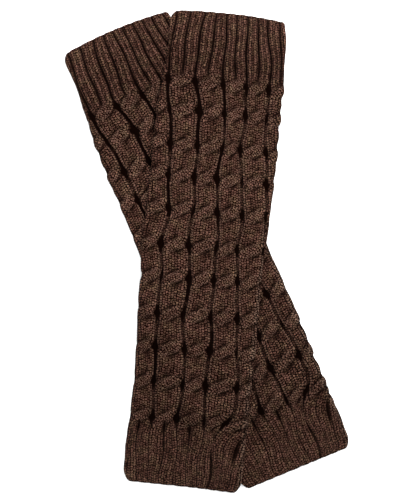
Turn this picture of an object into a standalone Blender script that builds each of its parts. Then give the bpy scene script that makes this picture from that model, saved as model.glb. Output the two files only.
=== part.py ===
"""A pair of cable-knit leg warmers, laid flat and crossed, one over the other.

Each warmer is one knitted tube in three pieces: a ribbed top cuff, a leg of ten
rope cables and a ribbed bottom cuff. Laid flat, its two layers rest on each
other with a thin slit between them. The ribs and cables are raised in the outer
points of the wall over a plain inside, and the side that rests is flat.

A point of the cloth is named by two numbers: its distance along the warmer from
the top rim, and its place round the tube, counted in cables. Whole numbers of
cables are the grooves between two cables. Metres, +Z up, +Y towards the top
cuffs, and the origin under the middle of the pair.
"""

import math

import bmesh
import bpy
import numpy as np

MM = 0.001

# One warmer, along its length.
LENGTH = 0.4045
TOP_SEAM = 0.053
BOTTOM_SEAM = 0.356
SEAM_GAP = 0.0003

# The cloth: a plain wall, what stands up from it, and the air between the layers.
WALL = 0.0030
SLIT = 0.0006
CABLE_RISE = 0.0030
RIB_RISE = 0.0021
RIM_INSET = 0.0009
RIM_EDGE = 0.0015
RIM_SHARE = 0.35
CABLES_ROUND = 10
GROOVES = 5

# How the pair lies: where each top rim's middle is, and each warmer's turn.
UNDER_TOP = (-0.0785, 0.1901)
UNDER_TURN = math.radians(22.5)
OVER_TOP = (0.0198, 0.2029)
OVER_TURN = math.radians(-6.0)
RIM_BOW = 0.0035
BOW_WIDTH = 0.050
BOW_FADE = 0.060

# The over warmer is lifted by the under one, and comes down to the floor beside it.
LAYER_GAP = 0.0004
SHOULDER = 0.004
RUN_DOWN = 0.038

# One warmer's width and the grooves between its five upper cables, in millimetres
# across from its middle line, read every so far along. A groove past an edge lies
# as far round the fold.
SECTION_COLUMNS = ("along", "left", "groove_0", "groove_1", "groove_2", "groove_3", "groove_4", "right")
SECTION_ROWS = (
    (0, -46.7, -46.5, -22.6, -2.9, 13.4, 31.0, 45.2),
    (4, -49.7, -46.8, -22.9, -2.9, 13.6, 31.5, 48.3),
    (20, -50.3, -48.2, -23.8, -2.8, 15.3, 34.5, 48.7),
    (38, -51.0, -49.0, -24.8, -2.6, 17.0, 37.4, 49.2),
    (55, -52.0, -48.0, -25.5, -1.6, 18.4, 38.3, 50.2),
    (84, -54.0, -45.0, -18.9, 3.7, 20.3, 39.0, 50.3),
    (113, -54.8, -40.0, -16.8, 3.7, 20.0, 40.8, 50.7),
    (142, -54.2, -38.8, -16.8, 2.6, 23.0, 44.9, 50.6),
    (170, -54.6, -36.1, -14.9, 6.4, 26.4, 47.6, 50.2),
    (200, -55.0, -38.8, -15.6, 7.6, 26.4, 48.5, 49.6),
    (228, -54.2, -35.7, -12.2, 9.0, 28.3, 50.0, 49.2),
    (258, -52.6, -37.2, -13.6, 9.4, 31.6, 53.0, 49.0),
    (286, -51.4, -34.5, -10.6, 11.7, 34.9, 56.0, 49.3),
    (317, -51.0, -33.2, -8.2, 10.6, 37.6, 59.0, 49.1),
    (340, -50.9, -32.2, -9.4, 12.4, 36.0, 58.5, 49.3),
    (352, -51.6, -31.9, -9.6, 12.7, 27.0, 53.5, 49.8),
    (364, -52.0, -31.2, -9.0, 12.4, 23.0, 44.5, 50.0),
    (385, -51.4, -30.8, -8.5, 12.0, 22.5, 41.0, 50.0),
    (399, -50.0, -30.4, -8.3, 11.8, 22.3, 40.6, 48.6),
    (404.5, -46.4, -29.0, -8.0, 11.4, 21.8, 38.6, 45.4),
)

# Where the two strands of every cable cross, along the warmer, and how far each
# crossing reaches either way. The ribs turn into cables over the two short runs.
CROSSINGS = (0.061, 0.084, 0.111, 0.140, 0.167, 0.200, 0.227, 0.257, 0.286, 0.316, 0.347)
CROSSING_REACH = 0.011
RIBS_TO_CABLES = (0.050, 0.060)
CABLES_TO_RIBS = (0.350, 0.362)

# A cable's form: half widths and the strands' swing as shares of a cable's width,
# heights as shares of CABLE_RISE.
CABLE_HALF = 0.45
CABLE_DRAW_IN = 0.10
PILLOW_HEIGHT = 0.82
PILLOW_DIP = 0.22
PILLOW_POWER = 3
STRAND_HALF = 0.26
STRAND_SWING = 0.25
STRAND_HEIGHT = 0.75
RIB_POWER = 0.7

# How finely the surfaces are cut up.
POINTS_PER_CABLE = 6
UPPER_CABLES = 6
UNDER_POINTS = 8
FIRST_POINT = -7 / POINTS_PER_CABLE
INNER_POINTS = 20
SPANS_PER_CROSSING = 6
SHORT_SPANS = 2
SHORT_STRETCH = 0.012
CUFF_SPANS = 6
UNDER_INNER_STEP = 0.030
OVER_INNER_STEP = 0.010
SHARP_ANGLE = math.radians(60)

EDGE_SHARE = 0.3
EDGE_RISE = EDGE_SHARE * CABLE_RISE
FOLD_RADIUS = WALL + SLIT / 2
UNDER_HEIGHT = 2 * FOLD_RADIUS + CABLE_RISE

# The finish of each kind of piece: colour, roughness and metallic value.
FINISHES = {
    "cuff": ((0.066, 0.036, 0.025, 1.0), 0.93, 0.0),
    "leg": ((0.054, 0.028, 0.019, 1.0), 0.95, 0.0),
}


def smooth_step(value):
    """Ease from 0 to 1 as value goes from 0 to 1."""
    held = np.clip(value, 0.0, 1.0)
    return held * held * (3.0 - 2.0 * held)


def section_at(along):
    """The columns of SECTION_ROWS, in metres, on a smooth curve through the rows."""
    table = np.array(SECTION_ROWS) * MM
    stations = table[:, 0]
    slopes = np.gradient(table, stations, axis=0)
    low = np.clip(np.searchsorted(stations, along) - 1, 0, len(stations) - 2)
    step = stations[low + 1] - stations[low]
    part = (along - stations[low]) / step
    blend = smooth_step(part)
    row = (
        (1.0 - blend) * table[low]
        + blend * table[low + 1]
        + step * part * (1.0 - part) * ((1.0 - part) * slopes[low] - part * slopes[low + 1])
    )
    return dict(zip(SECTION_COLUMNS, row))


def flat_tube(arc, straight, radius):
    """Points and normals (x, z) round a flattened tube that rests on z = 0.

    arc is measured from the left edge, over the upper layer, to the right edge
    and back underneath. straight is half the flat run, radius the fold's.
    """
    quarter = math.pi * radius / 2
    half_round = 2 * straight + 2 * quarter
    arc = np.mod(arc, 2 * half_round)
    side = np.where(arc < half_round, 1.0, -1.0)
    run = np.where(arc < half_round, arc, 2 * half_round - arc)
    left_turn = np.clip(run / radius, 0.0, math.pi / 2)
    right_turn = np.clip((run - quarter - 2 * straight) / radius, 0.0, math.pi / 2)
    middle = np.clip(run - quarter, 0.0, 2 * straight) - straight
    normal_x = -np.cos(left_turn) + np.sin(right_turn)
    normal_z = side * (np.sin(left_turn) + np.cos(right_turn) - 1.0)
    return middle + radius * normal_x, radius + radius * normal_z, normal_x, normal_z


def places_round():
    """Where the outer surface has its points, in cables round the tube."""
    upper = FIRST_POINT + np.arange(UPPER_CABLES * POINTS_PER_CABLE) / POINTS_PER_CABLE
    rest = CABLES_ROUND - UPPER_CABLES
    lower = FIRST_POINT + UPPER_CABLES + np.arange(UNDER_POINTS) * rest / UNDER_POINTS
    return np.concatenate([upper, lower])


def rib_height(place):
    """Ribs from 0 to 1 high, two for each cable."""
    return np.abs(np.sin(2 * math.pi * place)) ** RIB_POWER


def cable_height(place, along):
    """A rope cable from 0 to 1 high.

    Between crossings it is one plump pillow. At a crossing it draws in, and one
    strand rides over the other from the upper right to the lower left.
    """
    across = place - np.floor(place)
    offset = along - min(CROSSINGS, key=lambda crossing: abs(along - crossing))
    turn = np.clip(offset / CROSSING_REACH, -1.0, 1.0)
    near = 0.5 + 0.5 * math.cos(math.pi * turn)
    pillow = 1.0 - (np.abs(across - 0.5) / (CABLE_HALF - CABLE_DRAW_IN * near)) ** PILLOW_POWER
    pillow = (PILLOW_HEIGHT - PILLOW_DIP * near) * np.sqrt(np.clip(pillow, 0.0, 1.0))
    middle = 0.5 - STRAND_SWING * math.sin(math.pi / 2 * turn)
    strand = 1.0 - ((across - middle) / STRAND_HALF) ** 2
    strand = (STRAND_HEIGHT + (1.0 - STRAND_HEIGHT) * near) * np.sqrt(np.clip(strand, 0.0, 1.0))
    return np.maximum(pillow, strand * math.sqrt(near))


def rise_at(place, along):
    """How far the outer surface stands up from the plain wall, in metres."""
    begun = smooth_step((along - RIBS_TO_CABLES[0]) / (RIBS_TO_CABLES[1] - RIBS_TO_CABLES[0]))
    ended = smooth_step((along - CABLES_TO_RIBS[0]) / (CABLES_TO_RIBS[1] - CABLES_TO_RIBS[0]))
    cable = begun * (1.0 - ended)
    rise = (1.0 - cable) * RIB_RISE * rib_height(place) + cable * CABLE_RISE * cable_height(place, along)
    rim = min(along, LENGTH - along)
    return rise * (RIM_SHARE + (1.0 - RIM_SHARE) * smooth_step(rim / RIM_EDGE))


def hold_folds(arcs, round_length):
    """Move the point nearest each fold's edge onto it, and its neighbours half as far."""
    held = arcs.copy()
    count = len(arcs)
    for edge in (0.0, round_length / 2):
        away = np.mod(arcs - edge + round_length / 2, round_length) - round_length / 2
        nearest = int(np.argmin(np.abs(away)))
        for step, share in ((-1, 0.5), (0, 1.0), (1, 0.5)):
            held[(nearest + step) % count] -= share * away[nearest]
    return held


def outer_ring(along):
    """One ring of the outer surface: x, z and the share of the way round."""
    row = section_at(along)
    middle = (row["left"] + row["right"]) / 2
    rim = min(along, LENGTH - along)
    inset = RIM_INSET * (1.0 - smooth_step(rim / RIM_EDGE))
    straight = (row["right"] - row["left"]) / 2 - EDGE_RISE - FOLD_RADIUS
    quarter = math.pi * FOLD_RADIUS / 2
    round_length = 4 * (straight + quarter)
    knots = np.array([row["groove_%d" % number] - middle + straight + quarter for number in range(GROOVES)])
    knots = np.append(knots, knots[0] + round_length)
    knots = np.insert(knots, 0, knots[-2] - round_length)
    cables = np.array([GROOVES - 1 - CABLES_ROUND] + list(range(GROOVES)) + [CABLES_ROUND])
    arcs = hold_folds(np.interp(places_round(), cables, knots), round_length)
    x, z, normal_x, normal_z = flat_tube(arcs, straight, FOLD_RADIUS)
    rise = rise_at(np.interp(arcs, knots, cables), along) - inset
    rise *= smooth_step(normal_z + 0.5)
    return middle + x + rise * normal_x, z + rise * normal_z, np.mod(arcs / round_length, 1.0)


def inner_ring(along):
    """One ring of the plain inside: x, z and the share of the way round."""
    row = section_at(along)
    middle = (row["left"] + row["right"]) / 2
    straight = (row["right"] - row["left"]) / 2 - EDGE_RISE - FOLD_RADIUS
    radius = SLIT / 2
    shares = (np.arange(INNER_POINTS) + 0.5) / INNER_POINTS
    round_length = 4 * (straight + math.pi * radius / 2)
    x, z, _, _ = flat_tube(shares * round_length, straight, radius)
    return middle + x, z + WALL, shares


def world_place(x, y, top, turn):
    """A warmer's own x and y, as laid in the pair."""
    return (
        top[0] + x * math.cos(turn) - y * math.sin(turn),
        top[1] + x * math.sin(turn) + y * math.cos(turn),
    )


def lift_over(x, y):
    """How high the over warmer's underside lies at a point of its own x and y."""
    world_x, world_y = world_place(x, y, OVER_TOP, OVER_TURN)
    from_top_x = world_x - UNDER_TOP[0]
    from_top_y = world_y - UNDER_TOP[1]
    across = from_top_x * math.cos(UNDER_TURN) + from_top_y * math.sin(UNDER_TURN)
    along = from_top_x * math.sin(UNDER_TURN) - from_top_y * math.cos(UNDER_TURN)
    table = np.array(SECTION_ROWS) * MM
    left = np.interp(along, table[:, 0], table[:, 1])
    right = np.interp(along, table[:, 0], table[:, -1])
    beside = np.maximum(np.maximum(left - across, across - right), 0.0)
    beyond = np.maximum(np.maximum(-along, along - LENGTH), 0.0)
    away = np.hypot(beside, beyond)
    return (UNDER_HEIGHT + LAYER_GAP) * (1.0 - smooth_step((away - SHOULDER) / RUN_DOWN))


def place_ring(ring, along, lift):
    """A ring's points in the warmer's own space, with the rim's bow and the lift."""
    x, z, shares = ring
    bow = RIM_BOW * (x / BOW_WIDTH) ** 2 * max(0.0, 1.0 - along / BOW_FADE)
    y = -along - bow
    height = z + lift(x, y) if lift else z
    return np.column_stack([x, y, height]), shares


def stitch_rings(outer, outer_shares, inner, inner_shares):
    """Triangles from a ring of vertices to another, walking round both at once."""
    outer_order = np.argsort(outer_shares)
    inner_order = np.argsort(inner_shares)
    walk = []
    for order, shares, kind in ((outer_order, outer_shares, 0), (inner_order, inner_shares, 1)):
        count = len(order)
        for step in range(count):
            here = shares[order[step]]
            there = shares[order[(step + 1) % count]] + (1.0 if step == count - 1 else 0.0)
            walk.append(((here + there) / 2, kind))
    walk.sort()
    at = [0, 0]
    triangles = []
    for _, kind in walk:
        outer_here = outer[outer_order[at[0] % len(outer)]]
        inner_here = inner[inner_order[at[1] % len(inner)]]
        at[kind] += 1
        if kind == 0:
            triangles.append((outer_here, inner_here, outer[outer_order[at[0] % len(outer)]]))
        else:
            triangles.append((outer_here, inner_here, inner[inner_order[at[1] % len(inner)]]))
    return triangles


def tube_skin(rings, facing_out):
    """Triangles between rings of equal count, cut along the cables' lean."""
    triangles = []
    for upper, lower in zip(rings[:-1], rings[1:]):
        count = len(upper)
        for here in range(count):
            there = (here + 1) % count
            pair = [
                (upper[here], lower[here], upper[there]),
                (lower[here], lower[there], upper[there]),
            ]
            triangles += pair if facing_out else [corner[::-1] for corner in pair]
    return triangles


def build_piece(name, outer_along, inner_along, lift, parent, material):
    """One closed piece of tube: outer rings, inner rings and a rim at each end."""
    bm = bmesh.new()

    def add_rings(maker, stations):
        rings = []
        shares = []
        for along in stations:
            points, round_shares = place_ring(maker(along), along, lift)
            rings.append([bm.verts.new(point) for point in points])
            shares.append(round_shares)
        return rings, shares

    outer, outer_shares = add_rings(outer_ring, outer_along)
    inner, inner_shares = add_rings(inner_ring, inner_along)
    triangles = tube_skin(outer, True) + tube_skin(inner, False)
    triangles += [t[::-1] for t in stitch_rings(outer[0], outer_shares[0], inner[0], inner_shares[0])]
    triangles += stitch_rings(outer[-1], outer_shares[-1], inner[-1], inner_shares[-1])
    for corners in triangles:
        bm.faces.new(corners)
    bmesh.ops.recalc_face_normals(bm, faces=bm.faces)
    mesh = bpy.data.meshes.new(name)
    bm.to_mesh(mesh)
    bm.free()
    mesh.shade_smooth()
    mesh.set_sharp_from_angle(angle=SHARP_ANGLE)
    mesh.materials.append(material)
    piece = bpy.data.objects.new(name, mesh)
    piece.parent = parent
    bpy.context.collection.objects.link(piece)
    return piece


def leg_stations():
    """Rings along the leg, an even number between each two crossings."""
    start = TOP_SEAM + SEAM_GAP / 2
    end = BOTTOM_SEAM - SEAM_GAP / 2
    marks = (start,) + CROSSINGS + (end,)
    stations = [start]
    for first, last in zip(marks[:-1], marks[1:]):
        spans = SPANS_PER_CROSSING if last - first > SHORT_STRETCH else SHORT_SPANS
        stations += list(np.linspace(first, last, spans + 1)[1:])
    return stations


def cuff_stations(rim, seam):
    """Rings along a cuff from its rim to its seam, close together at the rim."""
    into = 1.0 if seam > rim else -1.0
    stations = [rim, rim + into * RIM_EDGE]
    stations += list(np.linspace(rim + into * RIM_EDGE, seam - into * SEAM_GAP / 2, CUFF_SPANS)[1:])
    return sorted(stations)


def build_warmer(name, top, turn, lift, inner_step):
    """The three pieces of one warmer under an empty that lays it in the pair."""
    holder = bpy.data.objects.new(name + "_warmer", None)
    holder.location = (top[0], top[1], 0.0)
    holder.rotation_euler = (0.0, 0.0, turn)
    bpy.context.collection.objects.link(holder)
    pieces = (
        ("top_cuff", "cuff", cuff_stations(0.0, TOP_SEAM)),
        ("cable_leg", "leg", leg_stations()),
        ("bottom_cuff", "cuff", cuff_stations(LENGTH, BOTTOM_SEAM)),
    )
    for suffix, finish, outer_along in pieces:
        spans = max(1, round((outer_along[-1] - outer_along[0]) / inner_step))
        inner_along = np.linspace(outer_along[0], outer_along[-1], spans + 1)
        piece_name = name + "_" + suffix
        material = knit_material(piece_name + "_knit", *FINISHES[finish])
        build_piece(piece_name, outer_along, inner_along, lift, holder, material)


def knit_material(name, colour, roughness, metallic):
    """One piece's Principled material."""
    material = bpy.data.materials.new(name)
    material.use_nodes = True
    material.diffuse_color = colour
    shader = material.node_tree.nodes["Principled BSDF"]
    shader.inputs["Base Color"].default_value = colour
    shader.inputs["Roughness"].default_value = roughness
    shader.inputs["Metallic"].default_value = metallic
    return material


def centre_pair():
    """Move both warmers so that the origin lies under the middle of the pair's box."""
    bpy.context.view_layer.update()
    corners = np.vstack([
        np.array([piece.matrix_world @ vertex.co for vertex in piece.data.vertices])
        for piece in bpy.data.objects if piece.type == "MESH"
    ])
    middle = (corners.min(axis=0) + corners.max(axis=0)) / 2
    for holder in bpy.data.objects:
        if holder.type == "EMPTY":
            holder.location.x -= middle[0]
            holder.location.y -= middle[1]
    bpy.context.view_layer.update()


def main():
    for old in list(bpy.data.objects):
        bpy.data.objects.remove(old, do_unlink=True)
    build_warmer("under", UNDER_TOP, UNDER_TURN, None, UNDER_INNER_STEP)
    build_warmer("over", OVER_TOP, OVER_TURN, lift_over, OVER_INNER_STEP)
    centre_pair()


main()
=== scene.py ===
"""A crossed pair of cable-knit leg warmers, laid flat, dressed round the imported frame.

Every warmer is one knitted tube in three pieces: a ribbed top cuff, a leg of ten rope
cables and a ribbed bottom cuff. Each piece is one closed mesh, worked out as a surface
of two parameters: the distance along the warmer from its top rim, and the place round
the tube, counted in cables. Its upper side and folds carry the cables, the ribs and
every single stitch. The side that rests is flat, and the inside is plain.

Metres, +Z up, +Y towards the top cuffs, the origin under the middle of the pair.
"""

import logging
import math
from dataclasses import dataclass
from enum import Enum

import bpy
import numpy as np
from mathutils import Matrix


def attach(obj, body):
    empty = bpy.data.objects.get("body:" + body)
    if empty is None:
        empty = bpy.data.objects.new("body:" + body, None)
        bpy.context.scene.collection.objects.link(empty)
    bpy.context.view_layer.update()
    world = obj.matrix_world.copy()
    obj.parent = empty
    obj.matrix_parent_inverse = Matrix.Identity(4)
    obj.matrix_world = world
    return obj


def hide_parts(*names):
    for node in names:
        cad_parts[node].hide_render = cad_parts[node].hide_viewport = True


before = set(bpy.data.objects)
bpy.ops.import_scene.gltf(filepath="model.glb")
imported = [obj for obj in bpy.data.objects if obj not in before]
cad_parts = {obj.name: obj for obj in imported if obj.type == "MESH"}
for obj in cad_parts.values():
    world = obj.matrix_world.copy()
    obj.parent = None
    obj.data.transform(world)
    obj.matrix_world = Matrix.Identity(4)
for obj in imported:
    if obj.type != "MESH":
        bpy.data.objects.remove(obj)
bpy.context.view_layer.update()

MM = 0.001
LOG = logging.getLogger("leg_warmers")

Colour = tuple[float, float, float, float]

# One warmer's two edges and the grooves between its five upper cables, in millimetres
# across from its middle line, at distances along from the top rim. A groove past an
# edge lies as far round the fold.
SECTION_COLUMNS = (
    "along", "left", "groove_0", "groove_1", "groove_2", "groove_3", "groove_4", "right",
)
SECTION_ROWS = (
    (0, -47.9, -46.5, -22.6, -2.9, 13.4, 31.0, 46.5),
    (4, -50.0, -46.8, -22.9, -2.9, 13.6, 31.5, 48.6),
    (20, -50.3, -48.2, -23.8, -2.8, 15.3, 34.5, 48.7),
    (38, -51.0, -49.0, -24.8, -2.6, 17.0, 37.4, 49.2),
    (55, -52.0, -48.0, -25.5, -1.6, 18.4, 38.3, 50.2),
    (84, -54.0, -45.0, -18.9, 3.7, 20.3, 39.0, 50.3),
    (113, -54.8, -40.0, -16.8, 3.7, 20.0, 40.8, 50.7),
    (142, -54.2, -38.8, -16.8, 2.6, 23.0, 44.9, 50.6),
    (170, -54.6, -36.1, -14.9, 6.4, 26.4, 47.6, 50.2),
    (200, -55.0, -38.8, -15.6, 7.6, 26.4, 48.5, 49.6),
    (228, -54.2, -35.7, -12.2, 9.0, 28.3, 50.0, 49.2),
    (258, -52.6, -37.2, -13.6, 9.4, 31.6, 53.0, 49.0),
    (286, -51.4, -34.5, -10.6, 11.7, 34.9, 56.0, 49.3),
    (317, -51.0, -33.2, -8.2, 10.6, 37.6, 59.0, 49.1),
    (340, -50.9, -32.2, -9.4, 12.4, 36.0, 58.5, 49.3),
    (352, -51.6, -31.9, -9.6, 12.7, 27.0, 53.5, 49.8),
    (364, -52.0, -31.2, -9.0, 12.4, 23.0, 44.5, 50.0),
    (385, -51.4, -30.8, -8.5, 12.0, 22.5, 41.0, 50.0),
    (399, -50.0, -30.4, -8.3, 11.8, 22.3, 40.6, 48.6),
    (404.5, -46.4, -29.0, -8.0, 11.4, 21.8, 38.6, 45.4),
)

# Where the strands of every cable cross, in metres along, and which places round, in
# cables, are tucked under in the bottom cuff.
CROSSINGS = (0.0605, 0.085, 0.1145, 0.141, 0.1695, 0.1995, 0.227, 0.258, 0.287, 0.3165, 0.347)
TUCK_PLACES = (2.53, 3.03)
TUCKED_CABLE = 2

# The count of wales and rows on plain faces, which is on a stitch's leg.
PLAIN_COUNT = 0.25


class Layer(Enum):
    """Which warmer of the pair: the one on the floor or the one across it."""

    UNDER = "under"
    OVER = "over"


class Part(Enum):
    """The three knitted pieces of a warmer, from the top down."""

    TOP_CUFF = "top_cuff"
    CABLE_LEG = "cable_leg"
    BOTTOM_CUFF = "bottom_cuff"


def smooth_step(value: np.ndarray) -> np.ndarray:
    """Ease from 0 to 1 as value goes from 0 to 1: three squares less two cubes.

    Args:
        value: Any numbers; those outside 0 to 1 are held at its ends.

    Returns:
        The eased numbers.
    """
    held = np.clip(value, 0.0, 1.0)
    return held * held * (3.0 - 2.0 * held)


def ease_between(value: np.ndarray, start: float, end: float) -> np.ndarray:
    """Ease from 0 to 1 as value goes from start to end."""
    return smooth_step((value - start) / (end - start))


def hump(away: np.ndarray, reach: float) -> np.ndarray:
    """A bell: e to the minus square of the distance over its reach.

    Args:
        away: Distances from the bell's middle.
        reach: Where the bell has fallen to about a third.

    Returns:
        Heights from 0 to 1.
    """
    return np.exp(-((away / reach) ** 2))


@dataclass(frozen=True)
class KnitGauge:
    """The gauge of the knitting, and the form of one stitch.

    Depths are shares of the stitch's height, lean and slip of a row, and the split's
    width of half a wale. A crossing strand's middle is at the strand wale of its cable.
    The twist and the gaps' painted shade serve the shader.
    """

    wales_per_cable: int = 10
    strand_wale: float = 7.0
    points_per_wale: int = 3
    points_per_row: int = 3
    row_height: float = 0.0021
    stitch_depth: float = 0.00055
    lean: float = 0.55
    slip: float = 0.30
    split_depth: float = 0.26
    split_width: float = 0.22
    wale_floor: float = 0.35
    row_depth: float = 0.60
    rib_row_depth: float = 0.42
    twist_share: float = 0.08
    twists_per_row: float = 2.0
    twist_lean: float = 20.0
    # The shade painted in the gaps: its start, less its slope times the square of the stitch's
    # height.
    gap_shade_start: float = 1.78
    gap_shade_slope: float = 2.05

    def rows_in(self, length: float) -> int:
        """Whole rows in a piece of this length."""
        return round(length / self.row_height)

    def wale(self, place: np.ndarray) -> np.ndarray:
        """Wales counted round the tube, with every groove in the middle of a wale."""
        return place * self.wales_per_cable - 0.5

    def row_depth_at(self, cabled: np.ndarray) -> np.ndarray:
        """How deep the dip between rows is: shallow in ribs, deeper in cables."""
        return self.rib_row_depth + (self.row_depth - self.rib_row_depth) * cabled

    def stitch_height(
        self, wale: np.ndarray, row: np.ndarray, row_depth: np.ndarray
    ) -> np.ndarray:
        """Height of plain knit from 0 to 1: each stitch is a V of two plump legs.

        A wale is a rounded column, parted by a shallow bell down its middle. Along it
        the height dips as a root of a sine once in every row. The rows are counted on
        towards the wale's two sides, which gives the V, and every other wale has slipped
        a little up or down.

        Args:
            wale: Place across in wales, whole numbers between two wales.
            row: Place along in rows.
            row_depth: How deep the dip between two rows is, as a share of the height.

        Returns:
            Heights of the yarn's surface.
        """
        from_middle = np.abs(2.0 * (wale - np.floor(wale)) - 1.0)
        slipped = self.slip * np.sin(math.pi / 2 * np.floor(wale))
        column = np.sqrt(np.maximum(np.cos(math.pi / 2 * from_middle), 0.0))
        column = self.wale_floor + (1.0 - self.wale_floor) * column
        parted = 1.0 - self.split_depth * hump(from_middle, self.split_width)
        wave = np.sqrt(np.abs(np.sin(math.pi * (row + slipped + self.lean * from_middle))))
        return column * parted * (1.0 - row_depth * (1.0 - wave))


@dataclass(frozen=True)
class WarmerShape:
    """The flattened tube of one warmer and where its cables run, in metres."""

    length: float = 0.4045
    top_seam: float = 0.053
    bottom_seam: float = 0.356
    wall: float = 0.0030
    slit: float = 0.0006
    cable_rise: float = 0.0030
    edge_share: float = 0.3
    rim_bow: float = 0.0035
    bow_width: float = 0.050
    bow_fade: float = 0.060
    cables_round: int = 10
    tuck_share: float = 0.90
    tuck_start: float = 0.352
    tuck_run: float = 0.012
    wander: float = 0.00050
    wander_turns: float = 150.0
    wander_slower: float = 0.53
    wander_phases: tuple[float, float] = (2.1, 3.7)
    cuff_wander: float = 0.6

    @property
    def fold_radius(self) -> float:
        """Half the thickness of the two layers, which is the radius of the side folds."""
        return self.wall + self.slit / 2

    @property
    def height(self) -> float:
        """The plain tube's thickness with a cable on it."""
        return 2 * self.fold_radius + self.cable_rise

    def span(self, part: Part) -> tuple[float, float]:
        """Where a piece starts and ends along the warmer."""
        return {
            Part.TOP_CUFF: (0.0, self.top_seam),
            Part.CABLE_LEG: (self.top_seam, self.bottom_seam),
            Part.BOTTOM_CUFF: (self.bottom_seam, self.length),
        }[part]

    def section(self, along: np.ndarray) -> dict[str, np.ndarray]:
        """The columns of SECTION_ROWS at each distance along, on a smooth curve.

        A cubic between each two rows, whose slopes at the rows are those of the
        line through their neighbours.

        Args:
            along: Distances from the top rim.

        Returns:
            One array for each column's name.
        """
        table = np.array(SECTION_ROWS) * MM
        stations = table[:, 0]
        slopes = np.gradient(table, stations, axis=0)
        low = np.clip(np.searchsorted(stations, along) - 1, 0, len(stations) - 2)
        step = (stations[low + 1] - stations[low])[:, None]
        part = (along - stations[low])[:, None] / step
        blend = smooth_step(part)
        bend = step * part * (1.0 - part) * ((1.0 - part) * slopes[low] - part * slopes[low + 1])
        rows = (1.0 - blend) * table[low] + blend * table[low + 1] + bend
        return dict(zip(SECTION_COLUMNS, rows.T))

    def girth(self, along: np.ndarray) -> tuple[np.ndarray, np.ndarray]:
        """The middle of the warmer and half of its flat run.

        Args:
            along: Distances from the top rim.

        Returns:
            The middle's place across and the half run, at each distance.
        """
        row = self.section(along)
        middle = (row["left"] + row["right"]) / 2
        edge_rise = self.edge_share * self.cable_rise
        return middle, (row["right"] - row["left"]) / 2 - edge_rise - self.fold_radius

    @staticmethod
    def way_round(straight: np.ndarray, radius: float) -> np.ndarray:
        """The length round a flat tube: two flat stretches and two half circles."""
        return 4 * (straight + math.pi * radius / 2)

    def arcs(self, along: np.ndarray, place: np.ndarray) -> np.ndarray:
        """How far round from the left fold's edge each place round the tube lies.

        Places between two grooves are spread evenly between the arcs of the grooves,
        but for the one cable whose second rib is tucked under in the bottom cuff. Two
        slow sines along the warmer make the lines wander a little.

        Args:
            along: Distances from the top rim, one for each row of the grid.
            place: Places round in cables, one for each column of the grid.

        Returns:
            A grid of arcs in metres.
        """
        row = self.section(along)
        middle, straight = self.girth(along)
        quarter = math.pi * self.fold_radius / 2
        round_length = self.way_round(straight, self.fold_radius)
        grooves = [row[name] - middle + straight + quarter for name in SECTION_COLUMNS[2:-1]]
        knots = np.stack([grooves[-1] - round_length, *grooves, grooves[0] + round_length], axis=1)
        last = len(grooves) - 1
        cables = np.array([last - self.cables_round, *range(len(grooves)), self.cables_round])
        start = np.searchsorted(cables, place, side="right") - 1
        share = (place - cables[start]) / (cables[start + 1] - cables[start])
        share = np.broadcast_to(share, (len(along), len(place)))
        tucked = np.interp(share, (0.0, 0.5, 1.0), (0.0, self.tuck_share, 1.0))
        drawn = smooth_step((along - self.tuck_start) / self.tuck_run)[:, None]
        drawn = drawn * (cables[start] == TUCKED_CABLE)
        share = (1.0 - drawn) * share + drawn * tucked
        phase = along[:, None] * self.wander_turns
        first, second = self.wander_phases
        wander = np.sin(phase + first * place) + np.sin(self.wander_slower * phase - second * place)
        in_cuff = smooth_step((along - self.bottom_seam) / self.tuck_run)[:, None]
        wander *= 1.0 + self.cuff_wander * in_cuff
        return (1.0 - share) * knots[:, start] + share * knots[:, start + 1] + self.wander * wander


def flat_tube(arc: np.ndarray, straight: np.ndarray, radius: float) -> tuple[np.ndarray, ...]:
    """Points and outward normals round a flattened tube that rests on z = 0.

    The run along the arc is a quarter circle at the left, a flat stretch and a quarter
    circle at the right, first over the top and then the same way back underneath.

    Args:
        arc: Distances round, from the left edge over the upper layer.
        straight: Half of the flat stretch.
        radius: The folds' radius.

    Returns:
        x, z and the normal's x and z.
    """
    quarter = math.pi * radius / 2
    half_round = 2 * straight + 2 * quarter
    arc = np.mod(arc, 2 * half_round)
    side = np.where(arc < half_round, 1.0, -1.0)
    run = np.where(arc < half_round, arc, 2 * half_round - arc)
    left_turn = np.clip(run / radius, 0.0, math.pi / 2)
    right_turn = np.clip((run - quarter - 2 * straight) / radius, 0.0, math.pi / 2)
    middle = np.clip(run - quarter, 0.0, 2 * straight) - straight
    normal_x = -np.cos(left_turn) + np.sin(right_turn)
    normal_z = side * (np.sin(left_turn) + np.cos(right_turn) - 1.0)
    return middle + radius * normal_x, radius + radius * normal_z, normal_x, normal_z


@dataclass(frozen=True)
class Pocket:
    """A hollow with painted shade: its place round and its width in cables, its place along in
    metres.
    """

    place: float
    along: float
    half_length: float
    half_width: float
    depth: float = 1.0


POCKETS = (
    *(Pocket(place + 0.5, 0.0450, 0.0070, 0.085, 0.85) for place in range(5)),
    *(Pocket(float(place), 0.0505, 0.0075, 0.070) for place in range(5)),
    Pocket(2.93, 0.0700, 0.0060, 0.075, 0.8),
    Pocket(2.95, 0.1120, 0.0120, 0.060, 0.8),
    Pocket(-0.5, 0.3570, 0.0060, 0.070, 1.0),
    Pocket(0.5, 0.3560, 0.0065, 0.075, 1.0),
    Pocket(1.5, 0.3565, 0.0060, 0.070, 1.0),
    Pocket(-0.5, 0.3650, 0.0070, 0.035, 0.85),
    Pocket(0.5, 0.3690, 0.0110, 0.040, 0.90),
    Pocket(1.5, 0.3640, 0.0070, 0.035, 0.85),
    Pocket(2.78, 0.3655, 0.0085, 0.240, 0.97),
    Pocket(3.92, 0.3695, 0.0125, 0.085, 0.98),
)


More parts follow.
